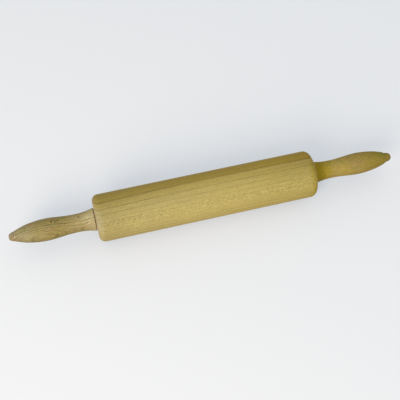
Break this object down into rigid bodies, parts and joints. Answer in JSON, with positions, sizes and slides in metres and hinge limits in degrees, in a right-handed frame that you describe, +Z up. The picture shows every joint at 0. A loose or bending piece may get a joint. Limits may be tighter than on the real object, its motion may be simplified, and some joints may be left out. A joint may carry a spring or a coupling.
{
  "type": "rolling pin",
  "caption": "Plain beech rolling pin: a straight round barrel with rounded rims turns freely on a steel axle between turned cigar-shaped handles.",
  "frame": {"origin": "on the lowest line of the barrel, half way along the pin, where it rests on a table", "axes": "+X along the pin from the left handle to the right handle, +Z up; the axis of the axle is parallel to X, one barrel radius above the origin"},
  "size_m": [0.4404, 0.053, 0.053],
  "materials": {
    "barrel_wood": "bare sanded beech",
    "handle_wood": "bare turned beech",
    "steel": "bright zinc plated",
    "nylon": "natural nylon",
    "fibre": "brown vulcanised fibre",
    "brass": "machined"
  },
  "bodies": {
    "handles": {"axle": "steel", "left_handle": "handle_wood", "right_handle": "handle_wood", "left_insert": "brass", "right_insert": "brass", "left_washer": "fibre", "right_washer": "fibre"},
    "barrel": {"barrel": "barrel_wood", "left_bush": "nylon", "right_bush": "nylon"}
  },
  "joints": [
    {"name": "barrel_spin", "type": "hinge", "parent": "handles", "child": "barrel", "pos_m": [0, 0, 0.0265], "axis": [1, 0, 0], "continuous": true}
  ]
}
